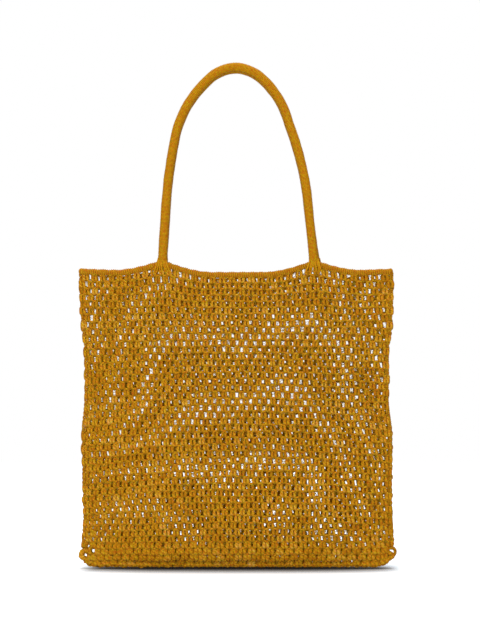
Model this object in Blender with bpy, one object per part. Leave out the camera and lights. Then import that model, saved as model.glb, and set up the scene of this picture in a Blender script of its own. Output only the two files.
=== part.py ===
"""Crocheted net tote bag with two wound handles, hanging from the tops of its handles.

The origin is where the bag hangs: the underside of the handles' tops. The width runs along X,
the front faces -Y and the height runs along Z. Lengths are in metres.
"""

import math
from collections import namedtuple

import bpy
import numpy as np

# Overall sizes of the bag
BODY_WIDTH = 0.380
BODY_HEIGHT = 0.357
BELLY_DEPTH = 0.050
MOUTH_DEPTH = 0.026
HANDLE_DROP = 0.242
HANDLE_SPREAD = 0.183

# Sizes of the pieces
PANEL_THICKNESS = 0.004
SEAM_WIDTH = 0.007
SEAM_DEPTH = 0.009
RIM_HEIGHT = 0.0065
RIM_THICKNESS = 0.0052
RIM_TURN_RADIUS = 0.0006
HANDLE_DIAMETER = 0.0112
HANDLE_FOOT_DIAMETER = 0.0145
HANDLE_FOOT_HEIGHT = 0.011

# How far the edges depart from a plain rectangle
ROOT_LIFT = 0.0115
ROOT_LIFT_REACH = 0.052
ROOT_LIFT_SHARPNESS = 1.65
CORNER_LIFT = 0.0042
EAR_LIFT = 0.0105
EAR_REACH = 0.019
SIDE_INSET = 0.0072
FOLD_HEIGHT = 0.006

# How the back handle differs from the front one
BACK_HANDLE_SAG = 0.0012
BACK_ROOT_SHIFT = 0.0035

# Clearance between pieces that meet, and the larger one under the bent rim
GAP = 0.0003
RIM_CLEARANCE = 0.0006

# Divisions of the faceted walls
PANEL_COLUMNS = 24
PANEL_ROWS = 22
SEAM_SIDES = 8
SIDE_STATIONS = 26
BASE_STATIONS = 44
RIM_SIDES = 8
RIM_STATIONS = 36
RIM_TURN_STATIONS = 4
HANDLE_SIDES = 10
HANDLE_STATIONS = 46

# The side edges: shares of SIDE_INSET that each one is drawn in, by share of the body's height
SideRow = namedtuple("SideRow", "height left right")
SIDE_ROWS = [
    SideRow(0.00, 0.70, 0.00),
    SideRow(0.06, 0.60, 0.00),
    SideRow(0.15, 0.80, 0.25),
    SideRow(0.25, 0.55, 0.25),
    SideRow(0.34, 0.60, 0.20),
    SideRow(0.44, 0.50, 0.30),
    SideRow(0.52, 0.85, 0.75),
    SideRow(0.63, 1.00, 0.75),
    SideRow(0.74, 0.85, 0.70),
    SideRow(0.85, 0.33, 0.15),
    SideRow(1.00, 0.00, 0.00),
]

# The bag's depth in its middle, from the base seam to the rim, as a share of the belly's
DepthRow = namedtuple("DepthRow", "height fullness")
DEPTH_ROWS = [
    DepthRow(0.000, 0.00),
    DepthRow(0.010, 0.30),
    DepthRow(0.025, 0.52),
    DepthRow(0.050, 0.73),
    DepthRow(0.090, 0.89),
    DepthRow(0.150, 0.97),
    DepthRow(0.230, 1.00),
    DepthRow(0.360, 0.98),
    DepthRow(0.520, 0.89),
    DepthRow(0.700, 0.74),
    DepthRow(0.860, 0.60),
    DepthRow(1.000, 0.50),
]

# The handle's line from a root to the top: shares of its height, and of half HANDLE_SPREAD
HandleRow = namedtuple("HandleRow", "height left right")
HANDLE_ROWS = [
    HandleRow(0.000, -0.970, 1.030),
    HandleRow(0.215, -0.937, 0.977),
    HandleRow(0.431, -0.891, 0.911),
    HandleRow(0.585, -0.832, 0.818),
    HandleRow(0.708, -0.759, 0.713),
    HandleRow(0.800, -0.653, 0.627),
    HandleRow(0.862, -0.548, 0.535),
    HandleRow(0.923, -0.409, 0.405),
    HandleRow(0.965, -0.285, 0.280),
    HandleRow(1.000, 0.000, 0.000),
]

# Soft folds: a ridge (positive) or a valley (negative) as a share of FOLD_HEIGHT, running from a
# top place to a bottom one. Places and widths are shares of the half width and of the height.
Fold = namedtuple("Fold", "panel top_x top_height low_x low_height width height")
FOLDS = [
    Fold("front", -0.47, 1.30, -0.62, 0.42, 0.10, 0.60),
    Fold("front", -0.25, 1.10, -0.30, 0.45, 0.12, -0.55),
    Fold("front", 0.48, 1.30, 0.60, 0.38, 0.10, 0.70),
    Fold("front", 0.20, 0.95, 0.28, 0.40, 0.13, -0.60),
    Fold("front", -0.55, 0.42, -0.20, 0.06, 0.14, -0.50),
    Fold("front", 0.35, 0.46, 0.62, 0.05, 0.13, 0.55),
    Fold("front", 0.80, 0.62, 0.85, 0.10, 0.09, -0.70),
    Fold("back", -0.46, 1.30, -0.50, 0.50, 0.11, 0.60),
    Fold("back", 0.10, 0.90, -0.05, 0.30, 0.16, -0.60),
    Fold("back", 0.47, 1.30, 0.70, 0.40, 0.11, 0.65),
    Fold("back", -0.70, 0.60, -0.60, 0.08, 0.12, -0.70),
    Fold("back", 0.40, 0.50, 0.30, 0.04, 0.14, 0.50),
]

# Colours of the yarn, linear, with roughness
NET_COLOUR = (0.420, 0.190, 0.014)
SEAM_COLOUR = (0.400, 0.175, 0.012)
HANDLE_COLOUR = (0.520, 0.225, 0.010)
NET_ROUGHNESS = 0.85
HANDLE_ROUGHNESS = 0.70

# Where the panels' middle surfaces lie at the seams, either side of the bag's middle plane
EDGE_HALF_DEPTH = PANEL_THICKNESS / 2 + GAP / 2
# The level stretch of the rim under each handle's foot
FOOT_SEAT_WIDTH = 0.8 * HANDLE_FOOT_DIAMETER


def column(rows, name):
    """One named column of a table, as an array."""
    return np.array([getattr(row, name) for row in rows], dtype=float)


def smooth_read(places, values, at):
    """Reads a smooth cubic curve through the given points, at each one with its neighbours' slope."""
    at = np.clip(np.asarray(at, dtype=float), places[0], places[-1])
    slopes = np.gradient(values, places)
    index = np.clip(np.searchsorted(places, at, side="right") - 1, 0, len(places) - 2)
    span = places[index + 1] - places[index]
    t = (at - places[index]) / span
    start, end = values[index], values[index + 1]
    return (
        start * (2 * t**3 - 3 * t**2 + 1)
        + end * (3 * t**2 - 2 * t**3)
        + span * slopes[index] * (t**3 - 2 * t**2 + t)
        + span * slopes[index + 1] * (t**3 - t**2)
    )


def ease(share):
    """A smooth step from 0 to 1."""
    share = np.clip(share, 0.0, 1.0)
    return share * share * (3 - 2 * share)


def root_x(side):
    """Where a handle meets the rim, on the left (-1) or the right (1)."""
    foot = HANDLE_ROWS[0]
    return (foot.left if side < 0 else foot.right) * HANDLE_SPREAD / 2


def rim_top(x):
    """Height of the rim's upper line: lowest in the middle, lifted at the corners and handles."""
    x = np.asarray(x, dtype=float)
    lift = CORNER_LIFT * (2 * x / BODY_WIDTH) ** 2
    for side in (-1, 1):
        beyond_foot = np.maximum(np.abs(x - root_x(side)) - FOOT_SEAT_WIDTH / 2, 0)
        nearness = np.clip(1 - beyond_foot / ROOT_LIFT_REACH, 0, 1)
        lift = lift + ROOT_LIFT * nearness**ROOT_LIFT_SHARPNESS
    return lift - HANDLE_DROP


def base_bottom(x):
    """Height of the base's lowest line, which rises into an ear at each corner."""
    from_corner = BODY_WIDTH / 2 - np.abs(np.asarray(x, dtype=float))
    rise = np.clip(1 - from_corner / EAR_REACH, 0, 1)
    return EAR_LIFT * rise**1.5 - HANDLE_DROP - BODY_HEIGHT


def side_edge(side, height):
    """Outer edge of the bag at a share of its height, on the left (-1) or the right (1)."""
    name = "left" if side < 0 else "right"
    inset = SIDE_INSET * smooth_read(column(SIDE_ROWS, "height"), column(SIDE_ROWS, name), height)
    return side * (BODY_WIDTH / 2 - inset)


def fold_height(panel, across, height):
    """Sum of the panel's folds at shares of its half width and height."""
    total = np.zeros(np.broadcast(across, height).shape)
    for fold in FOLDS:
        if fold.panel != panel:
            continue
        along = (height - fold.low_height) / (fold.top_height - fold.low_height)
        middle = fold.low_x + (fold.top_x - fold.low_x) * along
        strength = np.sin(math.pi * np.clip(along, 0, 1)) ** 2
        total = total + fold.height * strength * np.exp(-(((across - middle) / fold.width) ** 2))
    return FOLD_HEIGHT * total


def half_depth(panel, across, height):
    """Distance of the panel's middle surface from the bag's middle plane: a pillow that is
    flat-sided low down and lens-shaped at the mouth, with its folds."""
    fullness = smooth_read(column(DEPTH_ROWS, "height"), column(DEPTH_ROWS, "fullness"), height)
    mouth_share = ease((height - 0.5) / 0.5)
    belly = (BELLY_DEPTH - PANEL_THICKNESS) / 2 - EDGE_HALF_DEPTH
    mouth = (MOUTH_DEPTH - RIM_THICKNESS) / 2 - EDGE_HALF_DEPTH
    full = belly * (1 - mouth_share) + mouth / DEPTH_ROWS[-1].fullness * mouth_share
    sharpness = 3.4 - 1.0 * ease(height / 0.6)
    room = 1 - np.abs(across) ** sharpness
    folds = fold_height(panel, across, height) * ease(height * 8)
    return EDGE_HALF_DEPTH + room * (full * fullness + folds)


def material(name, colour, roughness):
    """A plain yarn material."""
    made = bpy.data.materials.new(name)
    made.use_nodes = True
    shader = made.node_tree.nodes["Principled BSDF"]
    shader.inputs["Base Color"].default_value = (*colour, 1.0)
    shader.inputs["Roughness"].default_value = roughness
    shader.inputs["Metallic"].default_value = 0.0
    return made


def add_object(name, points, faces, slot):
    """One named solid from its points and faces, shaded smooth."""
    mesh = bpy.data.meshes.new(name)
    mesh.from_pydata([tuple(map(float, p)) for p in points], [], faces)
    mesh.materials.append(slot)
    mesh.validate()
    made = bpy.data.objects.new(name, mesh)
    bpy.context.scene.collection.objects.link(made)
    mesh.shade_smooth()
    mesh.set_sharp_from_angle(angle=math.radians(50))
    return made


def lofted(sections, closed):
    """Points and outward faces of a solid through equal rings, capped unless it is closed."""
    stations, sides, _ = sections.shape
    faces = []
    for i in range(stations if closed else stations - 1):
        here, there = i * sides, (i + 1) % stations * sides
        for k in range(sides):
            after = (k + 1) % sides
            faces.append((here + k, here + after, there + after, there + k))
    if not closed:
        faces.append(tuple(reversed(range(sides))))
        faces.append(tuple((stations - 1) * sides + k for k in range(sides)))
    return sections.reshape(-1, 3), faces


def ring_angles(sides):
    """Angles of a ring's points, half a step off the axes so that flat sides face along them."""
    return (np.arange(sides) + 0.5) * 2 * math.pi / sides


def build_panel(name, facing, slot):
    """A panel as a closed wall: an outer and an inner skin over one grid, joined round the edge.

    facing is -1 for the front and 1 for the back.
    """
    panel = "front" if facing < 0 else "back"
    height = (np.arange(PANEL_ROWS + 1) / PANEL_ROWS)[:, None] ** 1.35
    across = np.linspace(-1, 1, PANEL_COLUMNS + 1)[None, :]
    across = across * (1.25 - 0.25 * across**2)
    left = side_edge(-1, height) + SEAM_WIDTH + GAP
    right = side_edge(1, height) - SEAM_WIDTH - GAP
    x = (left + right) / 2 + across * (right - left) / 2
    low = base_bottom(x) + SEAM_WIDTH + GAP
    high = rim_top(x) - RIM_HEIGHT - RIM_CLEARANCE
    z = low + height * (high - low)
    depth = half_depth(panel, across, height)
    across_slope = np.gradient(depth, axis=1) / np.gradient(x, axis=1)
    up_slope = np.gradient(depth, axis=0) / np.gradient(z, axis=0)
    stretch = np.minimum(np.sqrt(1 + across_slope**2 + up_slope**2), 1.6)
    wall = np.minimum(PANEL_THICKNESS / 2 * stretch, depth - GAP / 2)
    outer = np.stack([x, facing * (depth + wall), z], axis=-1)
    inner = np.stack([x, facing * (depth - wall), z], axis=-1)
    points = np.concatenate([outer.reshape(-1, 3), inner.reshape(-1, 3)])
    width = PANEL_COLUMNS + 1
    skin = width * (PANEL_ROWS + 1)
    faces = []
    for row in range(PANEL_ROWS):
        for col in range(PANEL_COLUMNS):
            a = row * width + col
            b, c, d = a + 1, a + width + 1, a + width
            faces.append((a, b, c, d))
            faces.append((skin + d, skin + c, skin + b, skin + a))
    border = list(range(width))
    border += [row * width + width - 1 for row in range(1, PANEL_ROWS + 1)]
    border += [PANEL_ROWS * width + col for col in reversed(range(width - 1))]
    border += [row * width for row in reversed(range(1, PANEL_ROWS))]
    for here, there in zip(border, border[1:] + border[:1]):
        faces.append((there, here, skin + here, skin + there))
    if facing > 0:
        faces = [tuple(reversed(face)) for face in faces]
    return add_object(name, points, faces, slot)


def build_side_seam(name, side, slot):
    """A side seam, standing on the base seam's end and stopping under the rim."""
    height = np.linspace(0, 1, SIDE_STATIONS)
    x = side_edge(side, height) - side * SEAM_WIDTH / 2
    low = base_bottom(x[0] + side * SEAM_WIDTH / 2) + SEAM_WIDTH + GAP
    corner = x[-1] + np.array([-1, 1]) * SEAM_WIDTH / 2
    high = rim_top(corner).min() - RIM_HEIGHT - GAP
    z = low + height * (high - low)
    angle = ring_angles(SEAM_SIDES)
    sections = np.stack(
        [
            x[:, None] + SEAM_WIDTH / 2 * np.cos(angle),
            np.broadcast_to(SEAM_DEPTH / 2 * np.sin(angle), (len(z), SEAM_SIDES)),
            np.broadcast_to(z[:, None], (len(z), SEAM_SIDES)),
        ],
        axis=-1,
    )
    return add_object(name, *lofted(sections, closed=False), slot)


def build_base_seam(name, slot):
    """The base seam, from the left ear to the right one."""
    share = np.linspace(-1, 1, BASE_STATIONS)
    share = share * (1.35 - 0.35 * share**2)
    left, right = side_edge(-1, 0.0), side_edge(1, 0.0)
    x = (left + right) / 2 + share * (right - left) / 2
    z = base_bottom(x) + SEAM_WIDTH / 2
    angle = ring_angles(SEAM_SIDES)
    sections = np.stack(
        [
            np.broadcast_to(x[:, None], (len(x), SEAM_SIDES)),
            np.broadcast_to(SEAM_DEPTH / 2 * np.cos(angle), (len(x), SEAM_SIDES)),
            z[:, None] + SEAM_WIDTH / 2 * np.sin(angle),
        ],
        axis=-1,
    )
    return add_object(name, *lofted(sections, closed=False), slot)


def rim_half_depth(panel, across):
    """Distance of the rim's centreline from the middle plane, over the panel's upper edge."""
    turn = RIM_THICKNESS / 2 + RIM_TURN_RADIUS
    return turn + half_depth(panel, across, 1.0) - EDGE_HALF_DEPTH


def build_rim(name, slot):
    """The rim as one ring: along the front, round a tight corner, along the back and round again."""
    turn = RIM_THICKNESS / 2 + RIM_TURN_RADIUS
    reach = BODY_WIDTH / 2 - RIM_THICKNESS / 2 - turn
    seats = [root_x(side) + end * FOOT_SEAT_WIDTH / 2 for side in (-1, 1) for end in (-1, 1)]
    across = np.sort(np.concatenate([np.linspace(-1, 1, RIM_STATIONS), np.array(seats) / reach]))
    angle = np.linspace(-math.pi / 2, math.pi / 2, RIM_TURN_STATIONS + 2)[1:-1]
    x = np.concatenate(
        [across * reach, reach + turn * np.cos(angle), -across * reach, -reach - turn * np.cos(angle)]
    )
    y = np.concatenate(
        [
            -rim_half_depth("front", across),
            turn * np.sin(angle),
            rim_half_depth("back", -across),
            -turn * np.sin(angle),
        ]
    )
    z = rim_top(x) - RIM_HEIGHT / 2
    ahead = np.stack([np.roll(x, -1) - np.roll(x, 1), np.roll(y, -1) - np.roll(y, 1)], axis=-1)
    ahead /= np.linalg.norm(ahead, axis=1, keepdims=True)
    ring = ring_angles(RIM_SIDES)
    inward = RIM_THICKNESS / 2 * np.cos(ring)
    sections = np.stack(
        [
            x[:, None] - ahead[:, 1:2] * inward,
            y[:, None] + ahead[:, 0:1] * inward,
            z[:, None] + RIM_HEIGHT / 2 * np.sin(ring),
        ],
        axis=-1,
    )
    return add_object(name, *lofted(sections, closed=True), slot)


def handle_line(facing):
    """The handle's centreline, evenly spaced from its left root to its right one."""
    height = column(HANDLE_ROWS, "height")
    left = column(HANDLE_ROWS, "left") * HANDLE_SPREAD / 2
    right = column(HANDLE_ROWS, "right") * HANDLE_SPREAD / 2
    sag = BACK_HANDLE_SAG if facing > 0 else 0.0
    shift = BACK_ROOT_SHIFT * (1 - height) if facing > 0 else 0.0
    top = HANDLE_DIAMETER / 2 - sag
    feet = [float(rim_top(root_x(side))) + GAP for side in (-1, 1)]
    chosen_x = np.concatenate([left, (right + shift)[-2::-1]])
    chosen_z = np.concatenate(
        [feet[0] + height * (top - feet[0]), (feet[1] + height * (top - feet[1]))[-2::-1]]
    )
    steps = np.hypot(np.diff(chosen_x), np.diff(chosen_z))
    along = np.concatenate([[0], np.cumsum(steps)])
    fine = np.linspace(0, along[-1], 2000)
    x = smooth_read(along, chosen_x, fine)
    z = smooth_read(along, chosen_z, fine)
    length = np.concatenate([[0], np.cumsum(np.hypot(np.diff(x), np.diff(z)))])
    even = np.linspace(0, length[-1], HANDLE_STATIONS)
    x, z = np.interp(even, length, x), np.interp(even, length, z)
    panel = "front" if facing < 0 else "back"
    reach = BODY_WIDTH / 2 - RIM_THICKNESS - RIM_TURN_RADIUS
    foot_depth = rim_half_depth(panel, root_x(-1) / reach), rim_half_depth(panel, root_x(1) / reach)
    share = even / length[-1]
    foot = foot_depth[0] * (1 - share) + foot_depth[1] * share
    climb = ease((z - min(feet)) / (top - min(feet)))
    meeting = HANDLE_DIAMETER / 2 + GAP / 2
    y = facing * (foot + (meeting - foot) * climb)
    return np.stack([x, y, z], axis=-1), even, length[-1]


def build_handle(name, facing, slot):
    """A wound handle: a round tube with a wider foot on the rim at each end, its end faces level."""
    line, along, length = handle_line(facing)
    ahead = np.gradient(line, axis=0)
    ahead[0], ahead[-1] = (0, 0, 1), (0, 0, -1)
    ahead /= np.linalg.norm(ahead, axis=1, keepdims=True)
    side = np.cross(np.array([0.0, 1.0, 0.0]), ahead)
    side /= np.linalg.norm(side, axis=1, keepdims=True)
    back = np.cross(ahead, side)
    from_end = np.minimum(along, length - along)
    foot_share = 1 - ease(from_end / HANDLE_FOOT_HEIGHT)
    radius = (HANDLE_DIAMETER + (HANDLE_FOOT_DIAMETER - HANDLE_DIAMETER) * foot_share) / 2
    angle = ring_angles(HANDLE_SIDES)
    sections = (
        line[:, None, :]
        + (radius[:, None] * np.cos(angle))[..., None] * side[:, None, :]
        + (radius[:, None] * np.sin(angle))[..., None] * back[:, None, :]
    )
    return add_object(name, *lofted(sections, closed=False), slot)


def main():
    """Builds the bag in an empty scene."""
    for old in list(bpy.data.objects):
        bpy.data.objects.remove(old)
    net = material("net_yarn", NET_COLOUR, NET_ROUGHNESS)
    seam = material("seam_yarn", SEAM_COLOUR, NET_ROUGHNESS)
    wound = material("handle_yarn", HANDLE_COLOUR, HANDLE_ROUGHNESS)
    build_panel("front_panel", -1, net)
    build_panel("back_panel", 1, net)
    build_side_seam("left_side_seam", -1, seam)
    build_side_seam("right_side_seam", 1, seam)
    build_base_seam("base_seam", seam)
    build_rim("rim_band", seam)
    build_handle("front_handle", -1, wound)
    build_handle("back_handle", 1, wound)


main()
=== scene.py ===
"""Looks of a crocheted net tote bag that hangs from two wound handles.

Lengths are in metres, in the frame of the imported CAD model: the width runs along X, the front
faces -Y, the height runs along Z, and the origin lies under the tops of the handles.
"""

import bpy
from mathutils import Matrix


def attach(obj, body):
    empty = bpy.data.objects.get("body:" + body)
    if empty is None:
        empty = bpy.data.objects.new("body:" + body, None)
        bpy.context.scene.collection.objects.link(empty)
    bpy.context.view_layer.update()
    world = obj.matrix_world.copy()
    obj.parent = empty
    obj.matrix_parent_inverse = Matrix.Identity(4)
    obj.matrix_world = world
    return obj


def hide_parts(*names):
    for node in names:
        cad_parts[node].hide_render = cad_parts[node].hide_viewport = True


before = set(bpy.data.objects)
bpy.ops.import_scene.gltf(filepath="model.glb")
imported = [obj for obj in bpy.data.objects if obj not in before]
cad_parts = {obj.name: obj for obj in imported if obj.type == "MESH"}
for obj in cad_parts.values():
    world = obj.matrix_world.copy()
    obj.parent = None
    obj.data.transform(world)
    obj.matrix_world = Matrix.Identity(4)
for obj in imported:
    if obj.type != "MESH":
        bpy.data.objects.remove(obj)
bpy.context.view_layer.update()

import math
from collections import namedtuple

import bpy
import numpy as np
from bpy.props import FloatProperty, FloatVectorProperty, IntProperty, PointerProperty

bl_info = {
    "name": "Crocheted Net Tote Bag",
    "version": (1, 0, 0),
    "blender": (4, 5, 0),
    "location": "View3D > Sidebar > Tote Bag",
    "description": "Builds the crocheted net, rim, seams and wound handles of a tote bag",
    "category": "Add Mesh",
}

# Sizes shared with the CAD model
BODY_WIDTH = 0.380
BODY_HEIGHT = 0.357
BELLY_DEPTH = 0.050
MOUTH_DEPTH = 0.026
HANDLE_DROP = 0.242
HANDLE_SPREAD = 0.183
PANEL_THICKNESS = 0.004
SEAM_WIDTH = 0.007
RIM_HEIGHT = 0.0065
RIM_THICKNESS = 0.0052
RIM_TURN_RADIUS = 0.0006
HANDLE_DIAMETER = 0.0112
HANDLE_FOOT_DIAMETER = 0.0145
ROOT_LIFT = 0.0115
ROOT_LIFT_REACH = 0.052
ROOT_LIFT_SHARPNESS = 1.65
CORNER_LIFT = 0.0042
EAR_LIFT = 0.0105
EAR_REACH = 0.019
SIDE_INSET = 0.0072
FOLD_HEIGHT = 0.006
BACK_HANDLE_SAG = 0.0012
BACK_ROOT_SHIFT = 0.0035
GAP = 0.0003
EDGE_HALF_DEPTH = PANEL_THICKNESS / 2 + GAP / 2
FOOT_SEAT_WIDTH = 0.8 * HANDLE_FOOT_DIAMETER

SideRow = namedtuple("SideRow", "height left right")
SIDE_ROWS = [
    SideRow(0.00, 0.70, 0.00),
    SideRow(0.06, 0.60, 0.00),
    SideRow(0.15, 0.80, 0.25),
    SideRow(0.25, 0.55, 0.25),
    SideRow(0.34, 0.60, 0.20),
    SideRow(0.44, 0.50, 0.30),
    SideRow(0.52, 0.85, 0.75),
    SideRow(0.63, 1.00, 0.75),
    SideRow(0.74, 0.85, 0.70),
    SideRow(0.85, 0.33, 0.15),
    SideRow(1.00, 0.00, 0.00),
]

DepthRow = namedtuple("DepthRow", "height fullness")
DEPTH_ROWS = [
    DepthRow(0.000, 0.00),
    DepthRow(0.010, 0.30),
    DepthRow(0.025, 0.52),
    DepthRow(0.050, 0.73),
    DepthRow(0.090, 0.89),
    DepthRow(0.150, 0.97),
    DepthRow(0.230, 1.00),
    DepthRow(0.360, 0.98),
    DepthRow(0.520, 0.89),
    DepthRow(0.700, 0.74),
    DepthRow(0.860, 0.60),
    DepthRow(1.000, 0.50),
]

HandleRow = namedtuple("HandleRow", "height left right")
HANDLE_ROWS = [
    HandleRow(0.000, -0.970, 1.030),
    HandleRow(0.215, -0.937, 0.977),
    HandleRow(0.431, -0.891, 0.911),
    HandleRow(0.585, -0.832, 0.818),
    HandleRow(0.708, -0.759, 0.713),
    HandleRow(0.800, -0.653, 0.627),
    HandleRow(0.862, -0.548, 0.535),
    HandleRow(0.923, -0.409, 0.405),
    HandleRow(0.965, -0.285, 0.280),
    HandleRow(1.000, 0.000, 0.000),
]

Fold = namedtuple("Fold", "panel top_x top_height low_x low_height width height")
FOLDS = [
    Fold("front", -0.47, 1.30, -0.62, 0.42, 0.10, 0.60),
    Fold("front", -0.25, 1.10, -0.30, 0.45, 0.12, -0.55),
    Fold("front", 0.48, 1.30, 0.60, 0.38, 0.10, 0.70),
    Fold("front", 0.20, 0.95, 0.28, 0.40, 0.13, -0.60),
    Fold("front", -0.55, 0.42, -0.20, 0.06, 0.14, -0.50),
    Fold("front", 0.35, 0.46, 0.62, 0.05, 0.13, 0.55),
    Fold("front", 0.80, 0.62, 0.85, 0.10, 0.09, -0.70),
    Fold("back", -0.46, 1.30, -0.50, 0.50, 0.11, 0.60),
    Fold("back", 0.10, 0.90, -0.05, 0.30, 0.16, -0.60),
    Fold("back", 0.47, 1.30, 0.70, 0.40, 0.11, 0.65),
    Fold("back", -0.70, 0.60, -0.60, 0.08, 0.12, -0.70),
    Fold("back", 0.40, 0.50, 0.30, 0.04, 0.14, 0.50),
]

# How far the back net's rows have drifted from the front's, counted in rows, beyond an even drift
# of one row in every EVEN_DRIFT of height. Read smoothly between these places.
EVEN_DRIFT = 0.0738
DRIFT_START = -0.2563
Drift = namedtuple("Drift", "x z rows")
DRIFTS = [
    Drift(*place)
    for place in (
        (-0.104, -0.366, -0.49), (-0.134, -0.312, -0.75), (-0.146, -0.372, -1.57), (-0.155, -0.415, -2.10),
        (-0.168, -0.264, -1.10), (-0.167, -0.330, -2.00), (-0.170, -0.491, -0.18), (-0.146, -0.530, 0.30),
        (-0.176, -0.576, -0.33), (-0.077, -0.318, 0.16), (-0.082, -0.352, 0.18), (-0.067, -0.421, -0.23),
        (-0.116, -0.479, 0.00), (-0.049, -0.530, -0.11), (-0.062, -0.555, -0.03), (-0.045, -0.250, 0.46),
        (0.000, -0.250, 0.48), (0.050, -0.250, 0.46), (-0.040, -0.280, 0.20), (0.010, -0.280, 0.22),
        (0.060, -0.276, 0.26), (-0.086, -0.254, 0.03), (-0.088, -0.238, -0.40), (-0.005, -0.330, 0.00),
        (-0.007, -0.403, 0.02), (-0.019, -0.481, -0.05), (-0.100, -0.566, 0.30), (0.015, -0.526, -0.15),
        (0.005, -0.550, -0.43), (-0.025, -0.566, -0.65), (0.035, -0.566, -0.65), (-0.080, -0.584, 0.08),
        (0.030, -0.584, -0.92), (0.066, -0.306, 0.33), (0.078, -0.387, 0.23), (0.066, -0.467, 0.15),
        (0.060, -0.540, 0.12), (0.090, -0.300, 0.40), (0.114, -0.246, 0.15), (0.126, -0.264, -0.10),
        (0.132, -0.336, -0.08), (0.132, -0.385, -0.74), (0.108, -0.427, -0.31), (0.126, -0.457, -0.72),
        (0.156, -0.282, -1.34), (0.156, -0.439, -1.47), (0.144, -0.500, -1.30), (0.175, -0.475, -1.97),
        (0.181, -0.518, -2.54), (0.181, -0.554, -2.03), (0.090, -0.481, -0.05), (0.093, -0.512, -0.46),
        (0.093, -0.554, -1.03), (0.093, -0.578, -1.00), (0.145, -0.578, -1.06),
    )
]

# Open holes in the lower corners: the yarn within reach of one is parted round it. A loop of yarn
# lies round each, so wide and full for the edges' yarn, and round some of them a second one.
EarHole = namedtuple("EarHole", "x z radius reach loop fullness doubled")
EAR_HOLES = [
    EarHole(0.1880, -0.5803, 0.0044, 0.0110, 0.0044, 1.12, True),
    EarHole(-0.1818, -0.5842, 0.0050, 0.0085, 0.0027, 0.75, False),
    EarHole(-0.1788, -0.5735, 0.0036, 0.0066, 0.0033, 1.12, True),
    EarHole(-0.1722, -0.5785, 0.0036, 0.0062, 0.0033, 1.12, True),
]

# The camera, at the photograph's angle, the height that it sees at the bag, and the floor
CAMERA_PLACE = (0.0051, -2.30, -0.2998)
CAMERA_FIELD = 0.7744
SENSOR_WIDTH = 36.0
FLOOR_HEIGHT = -0.6000
FLOOR_REACH = 1.7

# The floor's paint, its tint, and the place and the fading ends of the contact shadow along X
FLOOR_SHADE = 0.5
FLOOR_TINT = (0.91, 1.0, 1.10)
SHADOW_MIDDLE = 0.007
SHADOW_FADE_START = 0.160
SHADOW_FADE_END = 0.204

# The sky's tint, the point that the lamps face, and each lamp's level by name, place and size
SKY_COLOUR = (1.0, 0.90, 0.80, 1.0)
LAMP_TARGET = (0.0, 0.0, -0.35)
Lamp = namedtuple("Lamp", "level place size")
LAMPS = [
    Lamp("front", (-0.1, -2.6, -0.2), 0.7),
    Lamp("side", (-1.5, -2.0, 1.1), 1.6),
    Lamp("top", (0.0, 0.4, 5.0), 3.2),
]

# Which way each panel faces along Y
FACING = {"front": -1.0, "back": 1.0}

# Heights that the rows level out to below the rim and above the base, and over which shares of
# the body's height
TOP_ROW_LEVEL = -0.2450
BOTTOM_ROW_LEVEL = -0.5965
TOP_LEVELLING = 0.075
BOTTOM_LEVELLING = 0.04

# The columns gather under the handles' roots: how much, how far to each side, and how far down as
# a share of the body's height
GATHER = 0.20
GATHER_REACH = 0.035
GATHER_DEPTH = 0.13

# The back net's drift: the rows of its ripples, how near the rim and the base it is held back and
# the shares of it that are free beyond, the roundness of the surface through DRIFTS, its share in
# columns, and the trials that find it
RIPPLE = 0.07
FINE_RIPPLE = 0.04
HOLD_REACH = 0.03
RIM_FREE = 0.3
BASE_FREE = 0.65
DRIFT_ROUNDING = 0.012
COLUMN_LAG = 0.5
LAG_TRIALS = 14

# The yarn stays this far above the base's lowest line, and higher beyond the left corner
BASE_CLEAR = 0.0032
CORNER_CLEAR = 0.0020
CORNER_X = -0.166
CORNER_REACH = 0.014

# Rows round this one below the rim are stretched open, less at the left: their strands come
# closer and are thinner by these shares. A back row lies about so many rows lower than the front
# one of its number.
STRETCH_ROW = 14
STRETCH_REACH = 9
STRETCH_LEFT = 0.3
STRETCH_CLOSER = 0.13
STRETCH_THINNER = 0.12
BACK_ROW_LAG = 1.5

# Shares that the posts' yarn is fuller than the yarn's own: all over, at the base, on the lower
# left and on the right
POST_SWELL = 1.04
BASE_SWELL = 0.47
LEFT_SWELL = 0.07
RIGHT_SWELL = 0.12

# The posts' random shift and lean in columns, their spread of width and fullness, how flat their
# yarn lies, how far their loops stand out, and the spread of their shade
Spread = namedtuple("Spread", "size low high")
POST_SHIFT = 0.018
POST_LEAN = 0.040
POST_WIDTH = Spread(0.07, 0.84, 1.18)
POST_FULLNESS = Spread(0.06, 0.88, 1.15)
POST_FLATNESS = 0.74
POST_STANDING = 0.85
POST_SHADES = 0.32

# The bars' random steps up or down at each station, evened over a span of stations, their wave
# up and down with the stitches, and the spread of their shade
BAR_WANDER = 0.00017
WANDER_SPAN = 37
BAR_WAVE = 0.0003
BAR_SHADES = 0.12

# Loose fibres and random seed of each net, and the rows that the back one has to spare, and the
# columns that both have on each side, so that they fill the bag wherever they drift
FIBRES = {"front": 14600, "back": 5200}
NET_SEEDS = {"front": 11, "back": 23}
BACK_SPARE_ROWS = 4
SPARE_COLUMNS = 4

# The fibres' shortest and longest, their lowest and highest place in yarn diameters, how far from
# the net's sides they stay in columns, and their shade and its spread
FIBRE_LENGTHS = (0.0045, 0.0100)
FIBRE_HEIGHTS = (-0.3, 0.5)
FIBRE_MARGIN = 0.35
FIBRE_SHADE = 0.5
FIBRE_SHADES = 0.3

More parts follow.
